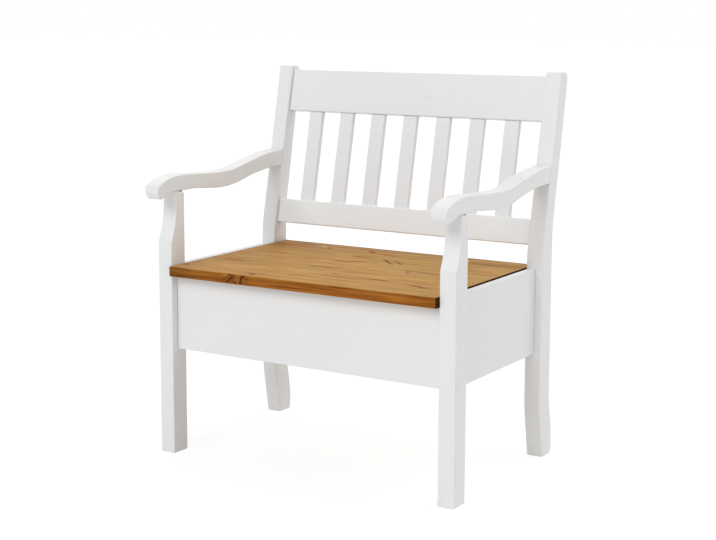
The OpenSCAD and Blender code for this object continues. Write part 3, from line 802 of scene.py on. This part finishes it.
# On the front edge the second number is the distance down from the seat's top
EDGE_MARKS = (
    (-177.5, 9.8, 9.6, 2.4, 41, 0.95), (-187.5, 20, 3.6, 2.5, 60, 0.9), (-180, 1.8, 3.6, 3, 0, 0.75),
    (-144, 3.6, 5.4, 2.6, 33, 0.95), (-149, 9.6, 5.6, 2.7, 76, 0.95), (-150.3, 17, 6.2, 2.8, 90, 0.95),
    (-137.5, 11, 7, 1.6, 76, 0.6), (-169, 11, 9, 1.4, 42, 0.55), (-161, 12.5, 8.4, 1.2, 40, 0.4),
    (-167, 19.6, 3.2, 2.3, 0, 0.7), (-193, 12, 9, 1.4, 30, 0.4), (-131, 12, 8, 1.8, 80, 0.35),
)
# Pale places of the front edge: middle, half length, half width, strength and colour
EDGE_PALE_AREAS = (
    (-160, 12, 8.5, 8.5, 0.45, (0.4, 0.19, 0.055)),
    (-196, 4, 11, 3.6, 0.5, (0.42, 0.235, 0.045)),
)

# Tints that the wood is multiplied by, and plain colours
REDDISH_TINT, BROWN_TINT = (0.84, 0.5, 0.3), (0.47, 0.27, 0.01)
EDGE_TINT = (0.62, 0.4, 0.21)
EDGE_LINES_TINT, LINES_SHOW = (0.62, 0.5, 0.36), 0.75
BETWEEN_LINES_TINT, BETWEEN_SHOWS = (1.25, 1.28, 1.2), 0.7
LINES_RANGE, BETWEEN_RANGE = (0.48, 0.66), (0.48, 0.32)
EDGE_FOOT_TINT = (0.92, 0.9, 0.86)
EDGE_KNOT_COLOUR = (0.095, 0.022, 0.002)
RIM_COLOUR = (0.095, 0.042, 0.01)
END_GRAIN_COLOUR, END_GRAIN_DARK = (0.05, 0.016, 0.003), 0.95

FRAY = {"scale": (130, 420, 420), "offset": (4, 1, 7)}
EDGE_LINES = {"scale": (7, 40, 230), "offset": (2, 0, 5), "distortion": 0.4}
RAGGED_WIDTH, EDGE_RAGGED_SHARE = 1.3, 0.4
TINT_RAGGED_SHARE, TINT_RAGGED_MIDDLE = 0.9, 0.45
# Distances from the middle of an ellipse, 1 at its own edge
MARK_EDGE, TINT_EDGE, PALE_EDGE = (1.5, 0.9), (1.3, 0.35), (1.2, 0.3)
HALO_EDGE, HALO_STRENGTH = (3, 0.6), 0.3

# How far inside a face of the seat boards, in metres, a change of colour starts and is complete
MARKS_DEPTH = (0.008, 0.005)
EDGE_DEPTH = (0.0022, 0.0005)
EDGE_FOOT_DROP = (0.0125, 0.0185)
END_GRAIN_DEPTH = (0.0022, 0.0006)
# The same for the darker rims, each with how dark it is
END_RIM = ((0.003, 0.0008), 0.9)
BACK_RIMS = (((0.017, 0.006), 0.62), ((0.005, 0.0022), 0.88))


def in_depth(millimetres):
    """The place of a depth behind the front legs' faces."""
    return front_y + millimetres * MM


def below_top(millimetres):
    """The height this far under the seat's top."""
    return seat_top - millimetres * MM


def marked(tree, plane, marks, place, ragged):
    """1 in the middle of the marks, with ragged outlines and a faint halo round each, and 0 elsewhere."""
    total = None
    for *shape, strength in marks:
        far = ellipse(tree, plane, place, *shape)
        core = fade(tree, calc(tree, "ADD", far, ragged), *MARK_EDGE)
        halo = times(tree, fade(tree, far, *HALO_EDGE), HALO_STRENGTH)
        near = times(tree, calc(tree, "MAXIMUM", core, halo), strength)
        total = near if total is None else calc(tree, "MAXIMUM", total, near)
    return total


def rim(tree, place, face, distances, dark):
    return times(tree, near_face(tree, place, face, distances), dark)


def seat_marks(tree, parts, grain, colour, streak_field):
    """Marks at set places, a front edge with a spike knot, darker rims and dark end grain."""
    ragged = calc(tree, "MULTIPLY_ADD", noise(tree, grain, **FRAY), RAGGED_WIDTH, -RAGGED_WIDTH / 2)
    colour = with_top_marks(tree, parts, colour, streak_field, ragged)
    start, full = EDGE_DEPTH
    edge = fade(tree, parts[1], lid_low.y + start, lid_low.y + full)
    colour = blend(tree, edge, colour, front_edge(tree, parts, grain, colour, ragged))
    away = calc(tree, "ABSOLUTE", parts[0])
    rims = rim(tree, away, lid_high.x, *END_RIM)
    for back_rim in BACK_RIMS:
        rims = calc(tree, "MAXIMUM", rims, rim(tree, parts[1], strip_high.y, *back_rim))
    colour = blend(tree, rims, colour, RIM_COLOUR)
    end_grain = near_face(tree, away, lid_high.x, END_GRAIN_DEPTH)
    return blend(tree, times(tree, end_grain, END_GRAIN_DARK), colour, END_GRAIN_COLOUR), end_grain


def with_top_marks(tree, parts, colour, streak_field, ragged):
    """The wood with its tinted areas and marks, which don't reach the underside."""
    top = flat_place(tree, parts[0], parts[1])
    for *shape, tint, strength in TINTS:
        far = calc(tree, "SUBTRACT", ellipse(tree, top, in_depth, *shape), TINT_RAGGED_MIDDLE)
        soft = fade(tree, calc(tree, "MULTIPLY_ADD", streak_field, TINT_RAGGED_SHARE, far), *TINT_EDGE)
        colour = blend(tree, times(tree, soft, strength), colour, tinted(tree, colour, tint))
    upper = near_face(tree, parts[2], seat_top, MARKS_DEPTH)
    for marks, tint in ((RED_MARKS, REDDISH_TINT), (DARK_MARKS, BROWN_TINT)):
        shape = times(tree, marked(tree, top, marks, in_depth, ragged), upper)
        colour = blend(tree, shape, colour, tinted(tree, colour, tint))
    return colour


def front_edge(tree, parts, grain, colour, ragged):
    """The front edge took more stain and shows flat grain, a darker foot, pale places and a spike knot."""
    deep = tinted(tree, colour, EDGE_TINT)
    lines = noise(tree, grain, **EDGE_LINES)
    on_line = times(tree, fade(tree, lines, *LINES_RANGE), LINES_SHOW)
    between = times(tree, fade(tree, lines, *BETWEEN_RANGE), BETWEEN_SHOWS)
    deep = blend(tree, on_line, deep, tinted(tree, deep, EDGE_LINES_TINT))
    deep = blend(tree, between, deep, tinted(tree, deep, BETWEEN_LINES_TINT))
    foot = near_face(tree, parts[2], seat_top, EDGE_FOOT_DROP)
    deep = blend(tree, foot, deep, tinted(tree, deep, EDGE_FOOT_TINT))
    face = flat_place(tree, parts[0], parts[2])
    for *shape, strength, pale in EDGE_PALE_AREAS:
        spot = fade(tree, ellipse(tree, face, below_top, *shape), *PALE_EDGE)
        deep = blend(tree, times(tree, spot, strength), deep, pale)
    knot = marked(tree, face, EDGE_MARKS, below_top, times(tree, ragged, EDGE_RAGGED_SHARE))
    return blend(tree, knot, deep, EDGE_KNOT_COLOUR)


# Metal

CLOUDS, CLOUD_RANGE = {"scale": (180, 180, 180), "detail": 4}, (0.35, 0.7)
SCRATCHES = {"scale": (90, 1400, 1400), "detail": 2, "roughness": 0.5}
CLOUD_ROUGHNESS = 0.16


def metal(name, colour, dull, rough):
    """Metal with dull clouds and fine scratches."""
    material, tree, shader = new_material(name)
    place = put(tree, "TexCoord").outputs["Object"]
    cloud = noise(tree, place, **CLOUDS)
    clouded = blend(tree, fade(tree, cloud, *CLOUD_RANGE), colour, dull)
    shader.inputs["Metallic"].default_value = 1.0
    dress(tree, shader, clouded, spread(tree, cloud, rough, rough + CLOUD_ROUGHNESS),
          noise(tree, place, **SCRATCHES), distance=0.00005, strength=0.5)
    return material


# Materials of the bench

ALONG_X, ALONG_Y, ALONG_Z = range(3)

white = [painted_pine("painted_pine_" + letter, axis, **PAINT) for axis, letter in enumerate("xyz")]
# Painted light: the crest rail and lower rail paints are cooler copies against the seat's warm bounce, and the
# lower rail's is also lighter
crest_paint_with_painted_light = painted_pine("painted_back_x", ALONG_X, knot=CREST_KNOT, **CREST_PAINT_WITH_PAINTED_LIGHT)
lower_rail_paint_with_painted_light = painted_pine("painted_lower_x", ALONG_X, **LOWER_RAIL_PAINT_WITH_PAINTED_LIGHT)
stained = clear_pine(
    "stained_pine", ALONG_X, early=(0.59, 0.345, 0.108), late=(0.46, 0.236, 0.06), dark=(0.13, 0.042, 0.008),
    pith=(0.02, seat_top - 0.09), ring_width=0.0052, contrast=0.46, rough=0.5, streaks=0.24,
    extra=seat_marks)
bare = clear_pine(
    "bare_pine", ALONG_X, early=(0.7, 0.52, 0.29), late=(0.58, 0.36, 0.16), dark=(0.42, 0.24, 0.1),
    pith=(0.02, 0.2), ring_width=0.0045, contrast=0.6, rough=0.6, streaks=0.4)
# Unpainted wood made near black: painted shade for the slot under each armrest
joint_wood = clear_pine(
    "joint_wood", ALONG_Z, early=(0.1, 0.072, 0.045), late=(0.07, 0.048, 0.028), dark=(0.03, 0.018, 0.01),
    pith=(0.02, 0.2), ring_width=0.0045, contrast=0.6, rough=0.85, streaks=0.4)
ply = clear_pine(
    "plywood", ALONG_X, early=(0.62, 0.46, 0.27), late=(0.52, 0.34, 0.17), dark=(0.38, 0.23, 0.11),
    pith=(0.02, 0.12), ring_width=0.011, contrast=0.5, rough=0.62, streaks=0.4)
beech = clear_pine(
    "beech", ALONG_X, early=(0.62, 0.42, 0.26), late=(0.54, 0.34, 0.19), dark=(0.36, 0.19, 0.09),
    pith=(0.02, 0.12), ring_width=0.003, contrast=0.4, rough=0.55, streaks=0.4)
brass = metal("brass", colour=(0.62, 0.46, 0.23), dull=(0.46, 0.33, 0.16), rough=0.34)
zinc = metal("zinc", colour=(0.74, 0.75, 0.76), dull=(0.58, 0.59, 0.6), rough=0.3)


# Legs, posts and armrests: the side outline of the frame's own solid, swept across with eased edges.
# Each has its grain axis, the radius of its outline's corners and the ease of its long edges

LIMBS = (("front_leg", ALONG_Z, 0.0032, 0.0025), ("rear_post", ALONG_Z, 0.0032, 0.0025),
         ("armrest", ALONG_Y, 0.004, 0.0028))
TENON_HALF_WIDTH = 0.013
TENON_SUNK = 0.002
TENON_BEHIND_FLAT = 0.001
TENON_BACK_GAP = 0.0004


def tenon_bm(loop, low, high):
    """A tenon in the middle of a leg's top that closes the wedge under the armrest; its unpainted wood is
    made near black as painted shade for the slot.
    """
    flat_end = max(y for y, z in loop if z > high.z - FLAT)
    rear_top = max(z for y, z in loop if y > high.y - FLAT)
    front, back = flat_end - TENON_BEHIND_FLAT, high.y - TENON_BACK_GAP
    profile = [(front, high.z - TENON_SUNK), (back, rear_top - TENON_SUNK), (back, high.z), (front, high.z)]
    middle = (low.x + high.x) / 2
    bm = bmesh.new()
    add_prism(bm, profile, middle - TENON_HALF_WIDTH, middle + TENON_HALF_WIDTH)
    return bm


def add_painted(node, bm, paint):
    """A painted piece that stands in for this node of the frame."""
    finish_piece("painted_" + node, bm, paint, FRAME_BODY, [node])


def add_limb(side, stem, axis, radius, ease):
    """A leg, post or armrest; a front leg also gets its tenon."""
    node = stem + "_" + side
    low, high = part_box(node)
    loop = without_flat_points(side_outline(node, low.x if side == "left" else high.x))
    points, near = rounded(*refined(loop), radius)
    add_painted(node, swept_bm(points, near, low.x, high.x, ease), white[axis])
    if stem == "front_leg":
        # The tenon's near-black wood is painted shade
        tenon = tenon_bm(loop, low, high)
        finish_piece("tenon_" + side, tenon, joint_wood, FRAME_BODY, None)


# Rails of the back and panels of the box, with a hairline left at each post and leg

JOINT_GAP = 0.0006
RAIL_EASE = 0.0010
PANEL_EASE = 0.0010
# Both rail paints are copies of the white paint with painted light
RAILS = (("crest_rail", crest_paint_with_painted_light), ("lower_back_rail", lower_rail_paint_with_painted_light))
PANELS = (("front_panel", ALONG_X), ("back_panel", ALONG_X), ("side_panel_left", ALONG_Y),
          ("side_panel_right", ALONG_Y))


def plain_sweep(node, gap, ease):
    """The side outline of the frame's own solid, swept across without rounding its corners."""
    low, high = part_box(node)
    points, _ = refined(without_flat_points(side_outline(node, high.x)))
    return swept_bm(points, [0.0] * len(points), low.x + gap, high.x - gap, ease)


def add_panel(node, axis):
    low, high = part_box(node)
    ends = Vector([JOINT_GAP if k == axis else 0 for k in range(3)])
    add_painted(node, board_bm(low + ends, high - ends, PANEL_EASE), white[axis])


# Slats, built upright in the leaning frame of the back

SLAT_COUNT = 7
SLAT_EASE = 0.002
FACING_FRONT = -0.5


def add_slats():
    faces = nodes["back_slat_1"].data.polygons
    front = max((face for face in faces if face.normal.y < FACING_FRONT), key=lambda face: face.area)
    lean = math.atan2(front.normal.z, -front.normal.y)
    to_upright = Matrix.Rotation(lean, 3, "X")
    crest_foot = min((to_upright @ v.co).z for v in nodes["crest_rail"].data.vertices)
    # The slats' paint is a cooler copy, painted light against the seat's warm bounce, and has a painted shadow
    # line under the crest rail
    paint = painted_pine("painted_back_z", ALONG_Z, joint_shade=(lean, crest_foot), **SLAT_PAINT_WITH_PAINTED_LIGHT)
    for i in range(1, SLAT_COUNT + 1):
        node = "back_slat_%d" % i
        low, high = box_of([to_upright @ v.co for v in nodes[node].data.vertices])
        bm = board_bm(low, high, SLAT_EASE)
        bmesh.ops.transform(bm, matrix=to_upright.inverted().to_4x4(), verts=bm.verts)
        add_painted(node, bm, paint)


# Seat boards, carved for the hinges

SEAT_EASE = 0.002


def add_seat_board(node, body, side, leaf):
    board = carved(plain_sweep(node, 0, SEAT_EASE), hinge_cutter([leaf + "left", leaf + "right"], side))
    finish_piece("stained_" + node, board, stained, body, [node])


# Inner boards, hinges and screws. Slots have a material, the ease of edges and the shortest edge eased

INNER = {
    "bare_pine": (bare, 0.0012, 0.012),
    "plywood": (ply, 0.0005, 0.012),
    "brass": (brass, 0.00015, 0.0004),
}


def add_inner_pieces():
    """Hinge pins and dowels stay the frame's own solids, with a better material."""
    slot_of = {part["node"]: part["material_slot"] for part in frame["record"]["subparts"]}
    bodies = frame["record"]["behaviour"]["bodies"]
    body_of = {node: body for body, members in bodies.items() for node in members}
    for name in sorted(nodes):
        kind = slot_of[name]
        if kind in INNER and "pin" not in name:
            material, ease, shortest = INNER[kind]
            eased = eased_copy(name, ease, shortest)
            finish_piece(kind + "_" + name, eased, material, body_of[name], [name])
        elif kind == "zinc":
            finish_piece("cross_" + name, screws_bm(name), zinc, body_of[name], [name])
        elif kind in ("beech", "brass"):
            for slot in nodes[name].material_slots:
                slot.material = beech if kind == "beech" else brass


# Camera, found from measured corners of the bench. Yaw, pitch and roll are in degrees; the focal length and
# the centre of view are in pixels

IMAGE_WIDTH, IMAGE_HEIGHT = 716, 540
CAMERA_AT = Vector((1.8385, front_y - 2.73549, 1.06652))
YAW, PITCH, ROLL = 32.632, 8.491, 0.013
FOCAL_LENGTH = 1494.4
CENTRE_X, CENTRE_Y = 330.56, 230.0
SENSOR_WIDTH = 36
NEAREST, FARTHEST = 0.1, 100


def add_camera():
    yaw, pitch, roll = math.radians(YAW), math.radians(PITCH), math.radians(ROLL)
    forward = Vector((-math.sin(yaw) * math.cos(pitch), math.cos(yaw) * math.cos(pitch), -math.sin(pitch)))
    level = Vector((math.cos(yaw), math.sin(yaw), 0))
    right = level * math.cos(roll) + level.cross(forward) * math.sin(roll)
    up = right.cross(forward)
    data = bpy.data.cameras.new("camera")
    data.sensor_width = SENSOR_WIDTH
    data.lens = FOCAL_LENGTH * SENSOR_WIDTH / IMAGE_WIDTH
    data.shift_x = (IMAGE_WIDTH / 2 - CENTRE_X) / IMAGE_WIDTH
    data.shift_y = (CENTRE_Y - IMAGE_HEIGHT / 2) / IMAGE_WIDTH
    data.clip_start, data.clip_end = NEAREST, FARTHEST
    camera = new_object("camera", data)
    camera.matrix_world = Matrix.Translation(CAMERA_AT) @ Matrix((right, up, -forward)).transposed().to_4x4()
    bpy.context.scene.camera = camera


# Floor and world: pale grey for the rays that light the bench, white for those that are seen

FLOOR_HALF_WIDTH = 40
FLOOR_LIT = (0.9, 0.9, 0.9, 1)
FLOOR_SHADOW = (0.24, 0.24, 0.24, 1)
FLOOR_GLOW = 0.84
PURE_WHITE = (1, 1, 1, 1)
WORLD_COLOUR, WORLD_STRENGTH = (0.96, 0.98, 1, 1), 0.39


def camera_or_mirror(tree):
    """1 for rays from the camera and rays seen in gloss or through glass, 0 for light on the object."""
    path = put(tree, "LightPath").outputs
    both = calc(tree, "MAXIMUM", path["Is Camera Ray"], path["Is Glossy Ray"])
    return calc(tree, "MAXIMUM", both, path["Is Transmission Ray"])


def split_rays(tree, lighting, seen, output):
    """One shader for the rays that light the bench and another for those that are seen."""
    mix = put(tree, "MixShader", {0: camera_or_mirror(tree), 1: lighting.outputs[0], 2: seen.outputs[0]})
    tree.links.new(mix.outputs[0], tree.nodes[output].inputs[0])


def add_floor():
    """A floor whose seen side is nearly white by itself and keeps a faint shadow."""
    bm = bmesh.new()
    bmesh.ops.create_grid(bm, x_segments=1, y_segments=1, size=FLOOR_HALF_WIDTH)
    floor = new_object("floor", new_mesh("floor", bm))
    material, tree, shader = new_material("floor")
    tree.nodes.remove(shader)
    lit = put(tree, "BsdfDiffuse", {"Color": FLOOR_LIT})
    shadowed = put(tree, "BsdfDiffuse", {"Color": FLOOR_SHADOW})
    glow = put(tree, "Emission", {"Color": PURE_WHITE, "Strength": FLOOR_GLOW})
    seen = put(tree, "AddShader", {0: shadowed.outputs[0], 1: glow.outputs[0]})
    split_rays(tree, lit, seen, "Material Output")
    floor.data.materials.append(material)


def add_world():
    world = bpy.data.worlds.new("studio")
    bpy.context.scene.world = world
    world.use_nodes = True
    tree = world.node_tree
    lighting = tree.nodes["Background"]
    lighting.inputs["Color"].default_value = WORLD_COLOUR
    lighting.inputs["Strength"].default_value = WORLD_STRENGTH
    split_rays(tree, lighting, put(tree, "Background", {"Color": PURE_WHITE}), "World Output")


# Soft distant lamps: name, side that the light comes from, with 0 in front and 90 on the right, height above
# the horizon, strength as a share of pi, angular width, colour. Angles are in degrees

NEUTRAL, WARM = (1, 1, 1), (1, 0.98, 0.94)
LAMPS = (
    ("front_left", -12, 35, 0.265, 32, NEUTRAL),
    ("front_right", 12, 35, 0.14, 32, NEUTRAL),
    ("side", 90, 45, 0.05, 45, WARM),
    ("back_right", 140, 50, 0.31, 50, WARM),
    ("back_left", -140, 50, 0.08, 50, NEUTRAL),
)


def add_lamp(name, azimuth, elevation, strength, width, colour):
    data = bpy.data.lights.new(name, "SUN")
    data.energy = strength * math.pi
    data.color = colour
    data.angle = math.radians(width)
    lamp = new_object(name, data)
    a, e = math.radians(azimuth), math.radians(elevation)
    shining = Vector((-math.sin(a) * math.cos(e), math.cos(a) * math.cos(e), -math.sin(e)))
    lamp.rotation_mode = "QUATERNION"
    lamp.rotation_quaternion = shining.to_track_quat("-Z", "Y")


for side in ("left", "right"):
    for limb in LIMBS:
        add_limb(side, *limb)
for node, paint in RAILS:
    add_painted(node, plain_sweep(node, JOINT_GAP, RAIL_EASE), paint)
add_slats()
for node, axis in PANELS:
    add_panel(node, axis)
add_seat_board("lid", LID_BODY, -1, "hinge_lid_leaf_")
add_seat_board("seat_strip", FRAME_BODY, 1, "hinge_fixed_leaf_")
add_inner_pieces()
add_camera()
add_floor()
add_world()
for lamp in LAMPS:
    add_lamp(*lamp)

bpy.context.scene.view_settings.view_transform = "Standard"
